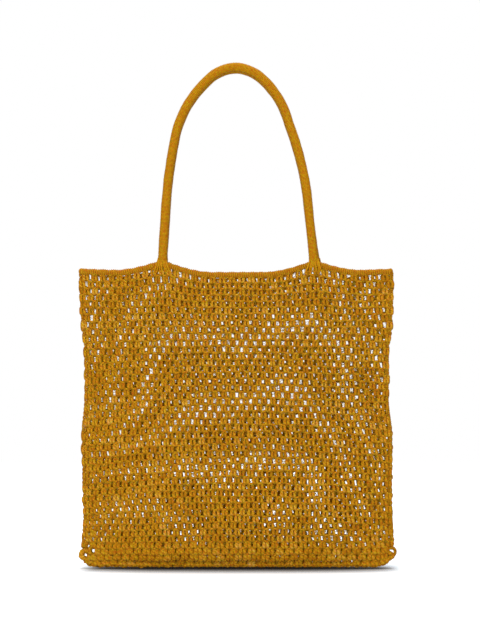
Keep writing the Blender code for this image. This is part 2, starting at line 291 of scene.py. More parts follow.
# The rim's ridges, its lumps, their number round it and how often they crowd, and how much
# fuller it is towards the left
RIM_RIDGE = 0.00042
RIM_LUMPS = 0.00030
RIM_LUMP_COUNT = 61
RIM_LUMP_DRIFT = 7
RIM_FULLER = 0.00035
RIM_FULLER_X = -0.15
RIM_FULLER_REACH = 0.07

# How far the left (-1) and the right (1) seam's yarn lies to the right of the seam's middle, and
# how many seam widths above the base it starts
SEAM_SHIFTS = {-1: 0.0, 1: 0.0016}
SEAM_STARTS = {-1: 2.0, 1: 1.7}

# The plaits: their points, their swing to the sides and in depth, the fullness of their yarn and
# the shades of their three strands
Plait = namedtuple("Plait", "stations swing depth fullness shades")
PLAITS = {
    "left_side": Plait(300, 0.0023, 0.0016, 1.05, (-0.2, 0.0, 0.2)),
    "right_side": Plait(300, 0.0015, 0.0017, 1.15, (-0.2, 0.0, 0.2)),
    "base": Plait(420, 0.0020, 0.0020, 1.0, (-0.3, -0.1, 0.1)),
}

# The scallops along the edges: how far they twist out of the bag's middle plane, half their width
# and height (a share of the pitch at the sides), how far in from the side and up from the base
# they lie, and how much of each edge they take up
LOOP_TWIST = 0.0018
SIDE_LOOP_WIDTH = 0.0024
SIDE_LOOP_SHARE = 0.43
SIDE_LOOP_INSET = 0.0030
BASE_LOOP_WIDTH = 0.0032
BASE_LOOP_HEIGHT = 0.0019
BASE_LOOP_RISE = 0.0033
LOOPED_SHARE = 0.93
SCALLOP_SEED = 31

# The strands at each handle's foot: how many, where they start and end below the rim's top, half
# the width of their fan at its start and how much it grows, how far its outer ones hang back, and
# their distance out from the net and the rim
ROOT_STRANDS = 7
ROOT_START = -0.0045
ROOT_END = 0.0125
FAN_START = 0.0043
FAN_GROWTH = 0.0060
FAN_SAG = 0.0016
ROOT_CLEAR = 0.0006
ROOT_OVER_RIM = 0.0012

# The handle's wobble, its flare over the foot and how much thinner it is there
HANDLE_WOBBLE = 0.00013
FLARE = 0.0012
FLARE_REACH = 0.013
FLARE_FLATTENING = 0.45

# Divisions of the yarn
POST_SIDES = 5
BAR_SIDES = 5
BAR_STEPS = 6
FIBRE_SIDES = 3
CORD_SIDES = 6
LOOP_STEPS = 14
RIM_SIDES = 16
RIM_STATIONS = 1860
HANDLE_SIDES = 18
HANDLE_STATIONS = 2000
ROOT_STATIONS = 16

# The yarns' looks: what is left of each part of the colour at its darkest, for darker dye and for
# painted shade, how much paler the worn yarn is in red and green and its tan in blue, the strands and
# their turns in a centimetre, how much painted shade darkens it between them, how uneven the dye is
# (which on the rim and the handles also scales the painted shade between wound turns), the roughness and
# the relief's strength
DARK_SHARES = (0.74, 0.64, 0.5)
PALE_RED = 1.20
PALE_GREEN = 1.34
YarnLook = namedtuple("YarnLook", "tan strands turns groove uneven roughness bump")
YARN_LOOKS = {
    "net_yarn_look": YarnLook(0.045, 2.0, 2.2, 0.60, 0.62, 0.85, 1.0),
    "rim_yarn_look": YarnLook(0.010, 1.0, 3.0, 0.15, 0.60, 0.8, 0.35),
    "seam_yarn_look": YarnLook(0.045, 2.0, 2.2, 0.60, 0.62, 0.85, 1.0),
    "handle_yarn_look": YarnLook(0.006, 1.0, 1.2, 0.10, 0.17, 0.66, 0.15),
}

# One post of the net is a closed loop of yarn. Its points lie across the post in shares of the
# strands' spacing, up it in rows from the bar below to its own, and outward in yarn diameters.
PostPoint = namedtuple("PostPoint", "across up out")
POST_LOOP = [
    PostPoint(0.50, 0.30, 0.40),
    PostPoint(0.47, 0.15, 0.42),
    PostPoint(0.24, 0.06, -0.20),
    PostPoint(-0.24, 0.06, -0.20),
    PostPoint(-0.47, 0.15, 0.42),
    PostPoint(-0.50, 0.30, 0.40),
    PostPoint(-0.52, 0.50, 0.28),
    PostPoint(-0.47, 0.74, 0.14),
    PostPoint(-0.26, 0.90, -0.24),
    PostPoint(0.26, 0.90, -0.24),
    PostPoint(0.47, 0.74, 0.14),
    PostPoint(0.52, 0.50, 0.28),
]


def column(rows, name):
    """One named column of a table, as an array."""
    return np.array([getattr(row, name) for row in rows], dtype=float)


def smooth_read(places, values, at):
    """Reads a cubic curve through the given points, at each one with its neighbours' slope."""
    at = np.clip(np.asarray(at, dtype=float), places[0], places[-1])
    slopes = np.gradient(values, places)
    index = np.clip(np.searchsorted(places, at, side="right") - 1, 0, len(places) - 2)
    span = places[index + 1] - places[index]
    t = (at - places[index]) / span
    return (
        values[index] * (2 * t**3 - 3 * t**2 + 1)
        + values[index + 1] * (3 * t**2 - 2 * t**3)
        + span * slopes[index] * (t**3 - 2 * t**2 + t)
        + span * slopes[index + 1] * (t**3 - t**2)
    )


def ease(share):
    """A smooth step from 0 to 1."""
    share = np.clip(share, 0.0, 1.0)
    return share * share * (3 - 2 * share)


def unit(vectors):
    """The vectors, each at a length of 1."""
    return vectors / np.maximum(np.linalg.norm(vectors, axis=-1, keepdims=True), 1e-12)


def root_x(side):
    """Where a handle meets the rim, on the left (-1) or the right (1)."""
    foot = HANDLE_ROWS[0]
    return (foot.left if side < 0 else foot.right) * HANDLE_SPREAD / 2


def rim_top(x):
    """Height of the rim's upper line: lowest in the middle, lifted at the corners and handles."""
    x = np.asarray(x, dtype=float)
    lift = CORNER_LIFT * (2 * x / BODY_WIDTH) ** 2
    for side in (-1, 1):
        beyond_foot = np.maximum(np.abs(x - root_x(side)) - FOOT_SEAT_WIDTH / 2, 0)
        nearness = np.clip(1 - beyond_foot / ROOT_LIFT_REACH, 0, 1)
        lift = lift + ROOT_LIFT * nearness**ROOT_LIFT_SHARPNESS
    return lift - HANDLE_DROP


def base_bottom(x):
    """Height of the base's lowest line, which rises at each corner."""
    from_corner = BODY_WIDTH / 2 - np.abs(np.asarray(x, dtype=float))
    rise = np.clip(1 - from_corner / EAR_REACH, 0, 1)
    return EAR_LIFT * rise**1.5 - HANDLE_DROP - BODY_HEIGHT


def side_edge(side, height):
    """Outer edge of the bag at a share of its height, on the left (-1) or the right (1)."""
    name = "left" if side < 0 else "right"
    inset = SIDE_INSET * smooth_read(column(SIDE_ROWS, "height"), column(SIDE_ROWS, name), height)
    return side * (BODY_WIDTH / 2 - inset)


def fold_height(panel, across, height):
    """Sum of the panel's folds at shares of its half width and height."""
    total = np.zeros(np.broadcast(across, height).shape)
    for fold in FOLDS:
        if fold.panel != panel:
            continue
        along = (height - fold.low_height) / (fold.top_height - fold.low_height)
        middle = fold.low_x + (fold.top_x - fold.low_x) * along
        strength = np.sin(math.pi * np.clip(along, 0, 1)) ** 2
        total = total + fold.height * strength * np.exp(-(((across - middle) / fold.width) ** 2))
    return FOLD_HEIGHT * total


def half_depth(panel, across, height):
    """Distance of the panel's middle surface from the bag's middle plane."""
    fullness = smooth_read(column(DEPTH_ROWS, "height"), column(DEPTH_ROWS, "fullness"), height)
    mouth_share = ease((height - 0.5) / 0.5)
    belly = (BELLY_DEPTH - PANEL_THICKNESS) / 2 - EDGE_HALF_DEPTH
    mouth = (MOUTH_DEPTH - RIM_THICKNESS) / 2 - EDGE_HALF_DEPTH
    full = belly * (1 - mouth_share) + mouth / DEPTH_ROWS[-1].fullness * mouth_share
    sharpness = 3.4 - 1.0 * ease(height / 0.6)
    room = 1 - np.abs(across) ** sharpness
    folds = fold_height(panel, across, height) * ease(height * 8)
    return EDGE_HALF_DEPTH + room * (full * fullness + folds)


def rim_half_depth(panel, across):
    """Distance of the rim's centreline from the middle plane, over the panel's upper edge."""
    return RIM_THICKNESS / 2 + RIM_TURN_RADIUS + half_depth(panel, across, 1.0) - EDGE_HALF_DEPTH


def net_depth(panel, x, z):
    """Distance of the net from the bag's middle plane at a place on the panel."""
    low = base_bottom(x) + SEAM_WIDTH
    high = rim_top(x) - RIM_HEIGHT
    height = np.clip((z - low) / (high - low), 0, 1)
    left = side_edge(-1, height) + SEAM_WIDTH
    right = side_edge(1, height) - SEAM_WIDTH
    across = np.clip((2 * x - left - right) / (right - left), -1, 1)
    return half_depth(panel, across, height)


def cones(places, tips):
    """Heights at the places of a cone on each tip, rounded there: the root of the distance squared
    plus DRIFT_ROUNDING squared."""
    apart = np.linalg.norm(places[..., None, :] - tips, axis=-1)
    return np.sqrt(apart**2 + DRIFT_ROUNDING**2)


def drift_field():
    """Places and weights of a sum of cones, and a mean, that pass smoothly through DRIFTS."""
    places = np.stack([column(DRIFTS, "x"), column(DRIFTS, "z")], axis=-1)
    values = column(DRIFTS, "rows")
    mean = values.mean()
    pulls = cones(places, places) + 1e-4 * np.eye(len(values))
    return places, np.linalg.solve(pulls, values - mean), mean


DRIFT_PLACES, DRIFT_WEIGHTS, DRIFT_MEAN = drift_field()


def row_drift(x, z):
    """Rows by which the back net lags the front one at a place: even with the height, plus the
    surface through DRIFTS, held back near the rim and the base, plus ripples."""
    uneven = DRIFT_MEAN + cones(np.stack([x, z], axis=-1), DRIFT_PLACES) @ DRIFT_WEIGHTS
    by_rim = 1 - RIM_FREE + RIM_FREE * ease((rim_top(x) - RIM_HEIGHT - z) / HOLD_REACH)
    by_base = 1 - BASE_FREE + BASE_FREE * ease((z - base_bottom(x)) / HOLD_REACH)
    ripple = RIPPLE * np.sin(x * 131 + z * 47) * np.sin(z * 163 - x * 38 + 0.7)
    ripple = ripple + FINE_RIPPLE * np.sin(x * 260 - z * 190 + 2.1)
    return (DRIFT_START - z) / EVEN_DRIFT + uneven * (by_rim * by_base) + ripple


def front_lattice(row, col, sizes):
    """Place on the front of a row and a column, both counted in stitches and not always whole.

    Rows run from the rim's line to the base's and sink towards the sides. Columns spread from a
    close pitch on the left to a wide one on the right, and gather below the handles' roots.
    """
    down = row / sizes.rows
    share = col / sizes.columns
    spread = -1 + 2 * (share + sizes.column_spread * (share * share - share))
    height = np.clip(1 - down, 0, 1)
    left = side_edge(-1, height) + SEAM_WIDTH * 0.52
    right = side_edge(1, height) - SEAM_WIDTH * 0.50
    x = (left + right) / 2 + spread * (right - left) / 2
    for side in (-1, 1):
        from_root = x - root_x(side)
        nearness = np.exp(-((from_root / GATHER_REACH) ** 2) - (down / GATHER_DEPTH) ** 2)
        x = x - GATHER * from_root * nearness
    x = x + 0.0009 * np.sin(x * 71 + down * 23) * np.sin(down * 19 + 1.3)
    top = rim_top(x) - RIM_HEIGHT * 0.9
    bottom = base_bottom(x) + SEAM_WIDTH * 0.45
    z = TOP_ROW_LEVEL + down * (BOTTOM_ROW_LEVEL - TOP_ROW_LEVEL)
    z = z + (top - TOP_ROW_LEVEL) * np.exp(-down / TOP_LEVELLING) * ease((1 - down) * 4)
    z = z + (bottom - BOTTOM_ROW_LEVEL) * np.exp(-(1 - down) / BOTTOM_LEVELLING)
    droop = np.where(spread < 0, sizes.left_droop, sizes.right_droop) * np.abs(spread) ** 1.9
    swell = np.sin(math.pi * np.clip(down, 0, 1) ** 1.35) ** 1.2
    z = z - droop * swell + 0.0006 * np.sin(x * 90 + down * 40)
    return x, np.clip(z, bottom - 0.001, rim_top(x) - RIM_HEIGHT * 0.5)


def parted(x, z):
    """Places moved straight away from each ear hole near them, so that none lies in its radius."""
    for hole in EAR_HOLES:
        apart = np.maximum(np.hypot(x - hole.x, z - hole.z), 1e-6)
        wanted = hole.radius + apart * (1 - hole.radius / hole.reach)
        wanted = np.where(apart < hole.reach, wanted, apart)
        x = hole.x + (x - hole.x) * wanted / apart
        z = hole.z + (z - hole.z) * wanted / apart
    return x, z


def lagged(row, col, column_lag, sizes):
    """Front row and column of a place on the back net, and its drift there, by repeated trial."""
    front_row, front_col = row, col
    for _ in range(LAG_TRIALS):
        drift = row_drift(*front_lattice(front_row, front_col, sizes))
        front_row = row + drift
        front_col = col + column_lag * drift
    return front_row, front_col, drift


def net_lattice(panel, row, col, sizes):
    """Place of a row and column on either panel, and its row and column on the front.

    The back net's rows lag the front's by row_drift and its columns by half as much, so the two
    nets' holes line up wherever the drift is a whole number.
    """
    if panel == "back":
        row, col, _ = lagged(row, col, COLUMN_LAG, sizes)
    return (*parted(*front_lattice(row, col, sizes)), row, col)


def on_panel(panel, x, z, out):
    """Points at places on a panel, standing out from it by the given distances.

    The back panel's places are given as seen against the front, and are moved out a little along
    the line of sight to lie on the back.
    """
    facing = FACING[panel]
    if panel == "back":
        distance = -CAMERA_PLACE[1]
        near = distance - net_depth("front", x, z)
        grow = (distance + net_depth("back", x, z)) / near
        hold = ease((side_edge(1, 0.5) - np.abs(x)) / 0.03)
        lift = ease((rim_top(x) - z) / 0.04) * ease((z - base_bottom(x)) / 0.03)
        x = CAMERA_PLACE[0] + (x - CAMERA_PLACE[0]) * (1 + (grow - 1) * hold)
        z = CAMERA_PLACE[2] + (z - CAMERA_PLACE[2]) * (1 + (grow - 1) * lift)
    step = 0.0015
    slope_x = (net_depth(panel, x + step, z) - net_depth(panel, x - step, z)) / (2 * step)
    slope_z = (net_depth(panel, x, z + step) - net_depth(panel, x, z - step)) / (2 * step)
    slope_x, slope_z = np.clip(slope_x, -1.2, 1.2), np.clip(slope_z, -1.2, 1.2)
    normal = unit(np.stack([-slope_x, np.full_like(x, facing), -slope_z], axis=-1))
    points = np.stack([x, facing * net_depth(panel, x, z), z], axis=-1) + normal * out[..., None]
    beyond_corner = ease((CORNER_X - points[..., 0]) / CORNER_REACH)
    lowest = base_bottom(points[..., 0]) + BASE_CLEAR + CORNER_CLEAR * beyond_corner
    points[..., 2] = np.maximum(points[..., 2], lowest)
    return points


def swept(paths, side_radius, lift_radius, sides, closed, reference):
    """An oval profile carried along each path, as points (path, station, side, xyz).

    Each ring is the path's point plus the side radius times the cosine along the sideways
    direction and the lift radius times the sine along the other. Sideways is square to the path
    and the reference direction.
    """
    if closed:
        ahead = np.roll(paths, -1, axis=1) - np.roll(paths, 1, axis=1)
    else:
        ahead = np.gradient(paths, axis=1)
    ahead = unit(ahead)
    side = unit(np.cross(np.broadcast_to(reference, ahead.shape), ahead))
    lift = np.cross(ahead, side)
    angle = (np.arange(sides) + 0.5) * 2 * math.pi / sides
    across = side_radius[..., None] * side[..., None, :] * np.cos(angle)[:, None]
    upward = lift_radius[..., None] * lift[..., None, :] * np.sin(angle)[:, None]
    return paths[..., None, :] + across + upward


def add_object(name, data):
    """An object with the given data, in the scene."""
    made = bpy.data.objects.new(name, data)
    bpy.context.scene.collection.objects.link(made)
    return made


def yarn_piece(name, node, grids, tones, closed, finish):
    """One object from several grids of rings, joined along and round each ring, capped if open.

    Each grid is (path, station, side, xyz), with one tone per path or per point. The map's first
    coordinate runs round the yarn from 0 to 1 and the second runs along it in centimetres. The
    piece rides on the bag's one body, and stands for a CAD node if one is given.
    """
    corners, faces, totals, maps, shades = [], [], [], [], []
    offset = 0
    for rings, tone in zip(grids, tones):
        count, stations, sides, _ = rings.shape
        steps = stations if closed else stations - 1
        index = np.arange(count * stations * sides).reshape(count, stations, sides) + offset
        here = index[:, :steps]
        there = np.roll(index, -1, axis=1)[:, :steps]
        quads = np.stack([here, np.roll(here, -1, axis=2), np.roll(there, -1, axis=2), there], axis=-1)
        centres = rings.mean(axis=2)
        moves = np.linalg.norm(np.roll(centres, -1, axis=1) - centres, axis=-1)
        along = np.concatenate([np.zeros((count, 1)), np.cumsum(moves, axis=1)], axis=1) * 100
        low = np.broadcast_to(along[:, :steps, None], here.shape)
        high = np.broadcast_to(along[:, 1 : steps + 1, None], here.shape)
        start = np.broadcast_to(np.arange(sides) / sides, here.shape)
        end = start + 1 / sides
        wrap = np.stack([start, end, end, start], axis=-1)
        run = np.stack([low, low, high, high], axis=-1)
        corners.append(rings.reshape(-1, 3))
        faces.append(quads.reshape(-1))
        totals.append(np.full(quads.size // 4, 4))
        maps.append(np.stack([wrap, run], axis=-1).reshape(-1, 2))
        tone = tone[:, None, None] if tone.ndim == 1 else tone
        shades.append(np.broadcast_to(tone, index.shape).reshape(-1))
        if not closed:
            caps = np.concatenate([index[:, 0, ::-1], index[:, -1, :]])
            faces.append(caps.reshape(-1))
            totals.append(np.full(len(caps), sides))
            maps.append(np.full((caps.size, 2), 0.5))
        offset += index.size
    corners, faces, totals = np.concatenate(corners), np.concatenate(faces), np.concatenate(totals)
    mesh = bpy.data.meshes.new(name)
    mesh.vertices.add(len(corners))
    mesh.vertices.foreach_set("co", corners.astype(np.float32).reshape(-1))
    mesh.loops.add(len(faces))
    mesh.loops.foreach_set("vertex_index", faces.astype(np.int32))
    mesh.polygons.add(len(totals))
    starts = np.concatenate([[0], np.cumsum(totals)[:-1]])
    mesh.polygons.foreach_set("loop_start", starts.astype(np.int32))
    mesh.update(calc_edges=True)
    layer = mesh.uv_layers.new(name="yarn")
    layer.uv.foreach_set("vector", np.concatenate(maps).astype(np.float32).reshape(-1))
    tone_data = mesh.attributes.new("tone", "FLOAT", "POINT")
    tone_data.data.foreach_set("value", np.concatenate(shades).astype(np.float32))
    mesh.shade_smooth()
    mesh.materials.append(finish)
    if mesh.validate():
        raise RuntimeError(f"{name} has faces that had to be mended")
    piece = add_object(name, mesh)
    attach(piece, "root")
    if node:
        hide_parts(node)


def new_group(name, inputs, outputs):
    """An empty node group with the given sockets, and its input and output nodes."""
    group = bpy.data.node_groups.new(name, "ShaderNodeTree")
    for label, kind, value in inputs:
        socket = group.interface.new_socket(name=label, in_out="INPUT", socket_type=kind)
        socket.default_value = value
    for label, kind in outputs:
        group.interface.new_socket(name=label, in_out="OUTPUT", socket_type=kind)
    return group, group.nodes.new("NodeGroupInput"), group.nodes.new("NodeGroupOutput")


def fill_inputs(tree, node, inputs):
    """Links a node's inputs to sockets or sets them to values."""
    for place, value in dict(inputs).items():
        if isinstance(value, bpy.types.NodeSocket):
            tree.links.new(value, node.inputs[place])
        else:
            node.inputs[place].default_value = value


def add_node(tree, kind, inputs=(), **settings):
    """A shader node with its settings and inputs."""
    node = tree.nodes.new("ShaderNode" + kind)
    for name, value in settings.items():
        setattr(node, name, value)
    fill_inputs(tree, node, inputs)
    return node


def add_math(tree, operation, *values):
    """The result of a maths node on sockets or numbers."""
    return add_node(tree, "Math", enumerate(values), operation=operation).outputs[0]


def twist_group():
    """Strands twisted round the yarn: a height, and a mask of the grooves between the strands where shade
    is painted, from the piece's own map.
    """
    if "Yarn Twist" in bpy.data.node_groups:
        return bpy.data.node_groups["Yarn Twist"]
    group, entry, leave = new_group(
        "Yarn Twist",
        [("Strands", "NodeSocketFloat", 3.0), ("Turns", "NodeSocketFloat", 1.6)],
        [("Height", "NodeSocketFloat"), ("Groove", "NodeSocketFloat")],
    )
    own_map = add_node(group, "UVMap", uv_map="yarn").outputs["UV"]
    parts = add_node(group, "SeparateXYZ", {0: own_map})
    around = add_math(group, "MULTIPLY", parts.outputs[0], entry.outputs["Strands"])
    forward = add_math(group, "MULTIPLY", parts.outputs[1], entry.outputs["Turns"])
    phase = add_math(group, "MULTIPLY", add_math(group, "ADD", around, forward), 2 * math.pi)
    wave = add_math(group, "MULTIPLY_ADD", add_math(group, "SINE", phase), 0.5, 0.5)
    height = add_math(group, "POWER", wave, 0.6)
    groove = add_math(group, "SUBTRACT", 1.0, add_math(group, "SMOOTH_MIN", height, 1.0, 0.1))
    group.links.new(height, leave.inputs["Height"])
    group.links.new(groove, leave.inputs["Groove"])
    return group


def dye_and_shade_group():
    """Uneven dye and painted shade: a colour between a dark, a middle and a light one, by noise and by the
    tone attribute (per stitch on the net, painted shade between wound turns on the rim and the handles),
    and darker by painted shade in the grooves between twisted strands.
    """
    if "Uneven Dye" in bpy.data.node_groups:
        return bpy.data.node_groups["Uneven Dye"]
    group, entry, leave = new_group(
        "Uneven Dye",
        [
            ("Dark", "NodeSocketColor", (0.2, 0.08, 0.003, 1)),
            ("Middle", "NodeSocketColor", (0.4, 0.18, 0.009, 1)),
            ("Light", "NodeSocketColor", (0.6, 0.3, 0.04, 1)),
            ("Groove", "NodeSocketFloat", 0.0),
            ("Groove Share", "NodeSocketFloat", 0.3),
            ("Fibre Size", "NodeSocketFloat", 900.0),
            ("Uneven Share", "NodeSocketFloat", 0.5),
        ],
        [("Colour", "NodeSocketColor"), ("Fibre", "NodeSocketFloat")],
    )
    given = entry.outputs
    place = add_node(group, "TexCoord").outputs["Object"]
    broad = add_node(group, "TexNoise", {"Vector": place, "Scale": 26.0, "Detail": 3.0})
    fine = add_node(group, "TexNoise", {"Vector": place, "Scale": given["Fibre Size"], "Detail": 2.0})
    patch = add_node(group, "TexNoise", {"Vector": place, "Scale": 380.0, "Detail": 1.0})
    tone = add_node(group, "Attribute", attribute_name="tone").outputs["Fac"]
    broad_part = add_math(group, "MULTIPLY", add_math(group, "SUBTRACT", broad.outputs["Fac"], 0.5), 0.5)
    fine_part = add_math(group, "MULTIPLY", add_math(group, "SUBTRACT", fine.outputs["Fac"], 0.5), 2.4)
    uneven = add_math(group, "ADD", add_math(group, "ADD", broad_part, fine_part), tone)
    uneven = add_math(group, "MULTIPLY", uneven, given["Uneven Share"])
    # Painted shade: the colour is pushed towards the dark one in the grooves between the twisted strands
    painted_groove_shade = add_math(group, "MULTIPLY", given["Groove"], given["Groove Share"])
    level = add_math(group, "SUBTRACT", add_math(group, "ADD", uneven, 0.5), painted_groove_shade)
    lower = {"Factor": add_math(group, "MULTIPLY", level, 2.0), "A": given["Dark"], "B": given["Middle"]}
    darker = add_node(group, "Mix", lower, data_type="RGBA").outputs["Result"]
    above = add_math(group, "MULTIPLY_ADD", level, 2.0, -1.0)
    upper = {"Factor": above, "A": darker, "B": given["Light"]}
    paler = add_node(group, "Mix", upper, data_type="RGBA").outputs["Result"]
    hue = add_math(group, "MULTIPLY_ADD", patch.outputs["Fac"], 0.09, 0.5 - 0.045)
    turned = add_node(group, "HueSaturation", {"Hue": hue, "Color": paler})
    group.links.new(turned.outputs["Color"], leave.inputs["Colour"])
    group.links.new(fine.outputs["Fac"], leave.inputs["Fibre"])
    return group


def yarn_finish(name, colour):
    """A dyed yarn with painted shade: uneven colour that pales towards tan where it is worn, painted shade
    between the twisted strands, and a twisted relief."""
    look = YARN_LOOKS[name]
    made = bpy.data.materials.new(name)
    made.use_nodes = True
    tree = made.node_tree
    strands = {"Strands": look.strands, "Turns": look.turns}
    twist = add_node(tree, "Group", strands, node_tree=twist_group())
    red, green, blue = colour
    shades = {
        "Dark": (*(part * share for part, share in zip(colour, DARK_SHARES)), 1.0),
        "Middle": (red, green, blue, 1.0),
        "Light": (red * PALE_RED, green * PALE_GREEN, blue + look.tan, 1.0),
        "Groove": twist.outputs["Groove"],
        "Groove Share": look.groove,
        "Uneven Share": look.uneven,
    }
    dye_and_shade = add_node(tree, "Group", shades, node_tree=dye_and_shade_group())
    fuzzy = add_math(tree, "MULTIPLY_ADD", dye_and_shade.outputs["Fibre"], 0.35, twist.outputs["Height"])
    relief = add_node(tree, "Bump", {"Strength": look.bump, "Distance": 0.0006, "Height": fuzzy})
    plain = {
        "Base Color": dye_and_shade.outputs["Colour"],
        "Normal": relief.outputs["Normal"],
        "Roughness": look.roughness,
        "Sheen Weight": 0.03,
        "Sheen Roughness": 0.5,
        "Sheen Tint": (1.0, 0.70, 0.25, 1.0),
        "Specular IOR Level": 0.12,
        "Subsurface Weight": 0.5,
        "Subsurface Radius": (1.0, 0.55, 0.12),
        "Subsurface Scale": 0.0036,
    }
    fill_inputs(tree, tree.nodes["Principled BSDF"], plain)
    return made


class NetSizes(bpy.types.PropertyGroup):
    """Sizes and colour of the crocheted net."""

    rows: IntProperty(name="Front Rows", description="Rows on the front from rim to base", default=45)
    back_rows: IntProperty(name="Back Rows", description="Rows on the back", default=41)
    columns: IntProperty(name="Columns", description="Stitches across the front", default=34)
    column_spread: FloatProperty(
        name="Column Spread", description="Change of pitch from the left to the right", default=0.11
    )
    left_droop: FloatProperty(
        name="Left Droop", description="Sag of the rows at the left", default=0.012, unit="LENGTH"
    )
    right_droop: FloatProperty(
        name="Right Droop", description="Sag of the rows at the right", default=0.008, unit="LENGTH"
    )
    yarn: FloatProperty(name="Yarn", description="Diameter of the yarn", default=0.0042, unit="LENGTH")
    bar_yarn: FloatProperty(
        name="Bar Yarn", description="Diameter of a row's single strand", default=0.0029, unit="LENGTH"
    )
    fibre: FloatProperty(
        name="Fibre", description="Thickness of the loose fibres", default=0.00078, unit="LENGTH"
    )
    strand_spacing: FloatProperty(
        name="Strand Spacing", description="Between a post's strands, in columns", default=0.40
    )
    colour: FloatVectorProperty(
        name="Colour", description="Yarn of the net", default=(0.552, 0.259, 0.003), subtype="COLOR"
    )


class EdgeSizes(bpy.types.PropertyGroup):
    """Sizes and colour of the rim, the side seams and the base."""

    yarn: FloatProperty(name="Yarn", description="Diameter of the yarn", default=0.0027, unit="LENGTH")
    rim_winding: FloatProperty(
        name="Rim Winding", description="Pitch of the yarn round the rim", default=0.0026, unit="LENGTH"
    )
    # Painted shade: how much darker the rim's colour is in the valleys between its wound turns
    rim_groove_shade: FloatProperty(name="Rim Groove", description="Darkness between its turns", default=0.55)
    left_pitch: FloatProperty(
        name="Left Scallop", description="Length of a left scallop", default=0.0157, unit="LENGTH"
    )
    right_pitch: FloatProperty(
        name="Right Scallop", description="Length of a right scallop", default=0.0078, unit="LENGTH"
    )
    base_pitch: FloatProperty(
        name="Base Scallop", description="Length of a base scallop", default=0.0109, unit="LENGTH"
    )
    colour: FloatVectorProperty(
        name="Colour", description="Yarn of the edges", default=(0.488, 0.224, 0.003), subtype="COLOR"
    )


class HandleSizes(bpy.types.PropertyGroup):
    """Sizes and colour of the wound handles."""

    diameter: FloatProperty(
        name="Diameter", description="Over the winding", default=0.0108, unit="LENGTH"
    )
    winding: FloatProperty(
        name="Winding", description="Pitch of the wound yarn", default=0.0016, unit="LENGTH"
    )
    ridge: FloatProperty(
        name="Ridge", description="Height of each turn of yarn", default=0.00034, unit="LENGTH"
    )
    # Painted shade: how much darker the handle's colour is in the valleys between its wound turns
    groove: FloatProperty(name="Groove", description="Darkness between the turns", default=1.5)
    root_yarn: FloatProperty(
        name="Root Yarn", description="Diameter of the strands at the feet", default=0.0021, unit="LENGTH"
    )
    colour: FloatVectorProperty(
        name="Colour", description="Yarn of the handles", default=(0.544, 0.260, 0.001), subtype="COLOR"
    )


class StageLevels(bpy.types.PropertyGroup):
    """Brightness of the studio."""

    sky: FloatProperty(name="Soft Light", description="Even light from all round", default=0.42)
    front: FloatProperty(name="Front Light", description="Power of the lamp by the camera", default=42.0)
    side: FloatProperty(name="Side Light", description="Power of the upper left lamp", default=12.0)
    top: FloatProperty(name="Top Light", description="Power of the lamp above", default=200.0)
    contact_reach: FloatProperty(
        name="Contact Reach", description="Reach of the shadow at the base", default=0.041, unit="LENGTH"
    )
    contact_depth: FloatProperty(
        name="Contact Depth", description="Steepness of the shadow at the base", default=2.2
    )
    floor_gain: FloatProperty(
        name="Floor Brightness", description="How much paler than its light the floor looks", default=1.35
    )


def posts(panel, sizes, rows, random):
    """The net's posts: POST_LOOP placed at each stitch of each row, every second row half a
    stitch along, with a little random shift, lean and width. Those outside the net are left out.

    Round STRETCH_ROW, by a bell curve of the row, a post's strands are closer and thinner. Over
    the last rows, the lower left and the last columns they are fuller.
    """
    loop_up = column(POST_LOOP, "up")
    row = np.arange(-1, rows)[:, None, None]
    stitch = np.arange(-SPARE_COLUMNS, sizes.columns + SPARE_COLUMNS + 1)[None, :, None]
    shape = (rows + 1, stitch.shape[1], 1)
    col = stitch + 0.5 + 0.5 * (row % 2) + random.normal(0, POST_SHIFT, shape)
    lean = random.normal(0, POST_LEAN, shape)
    width, fullness = [
        np.clip(random.normal(1.0, spread.size, shape), spread.low, spread.high)
        for spread in (POST_WIDTH, POST_FULLNESS)
    ]
    below_rim = row + (BACK_ROW_LAG if panel == "back" else 0.0)
    from_left = ease((stitch - 4) / 7)
    stretched = np.exp(-(((below_rim - STRETCH_ROW) / STRETCH_REACH) ** 2))
    stretched = stretched * (STRETCH_LEFT + (1 - STRETCH_LEFT) * from_left)
    spacing = sizes.strand_spacing * (1 - STRETCH_CLOSER * stretched)
    place_col = col + lean * (loop_up - 0.5) + column(POST_LOOP, "across") * width * spacing
    place_row = np.broadcast_to(row + 1 - loop_up, place_col.shape)
    x, z, front_row, front_col = net_lattice(panel, place_row, place_col, sizes)
    out = POST_STANDING * column(POST_LOOP, "out") * sizes.yarn + 0 * x
    points = on_panel(panel, x, z, out)
    foot_row = front_row[..., 2:3]
    middle_col = front_col.mean(axis=-1, keepdims=True)
    inside = (middle_col > -0.1) & (middle_col < sizes.columns + 0.1)
    inside &= (foot_row > 0.45) & (foot_row < sizes.rows + 0.6)
    inside = inside[..., 0]
    swell = POST_SWELL + BASE_SWELL * ease((foot_row - sizes.rows + 4.5) / 3) - STRETCH_THINNER * stretched
    swell = swell + LEFT_SWELL * (1 - from_left) * ease((below_rim - 10) / 4)
    swell = swell + RIGHT_SWELL * ease((stitch - sizes.columns + 6) / 5)
    radius = np.broadcast_to(fullness * swell * sizes.yarn / 2, points.shape[:-1])[inside][..., None]
    outward = (0.0, FACING[panel], 0.0)
    rings = swept(points[inside], radius, POST_FLATNESS * radius, POST_SIDES, True, outward)
    return rings, random.normal(0, POST_SHADES, len(rings))


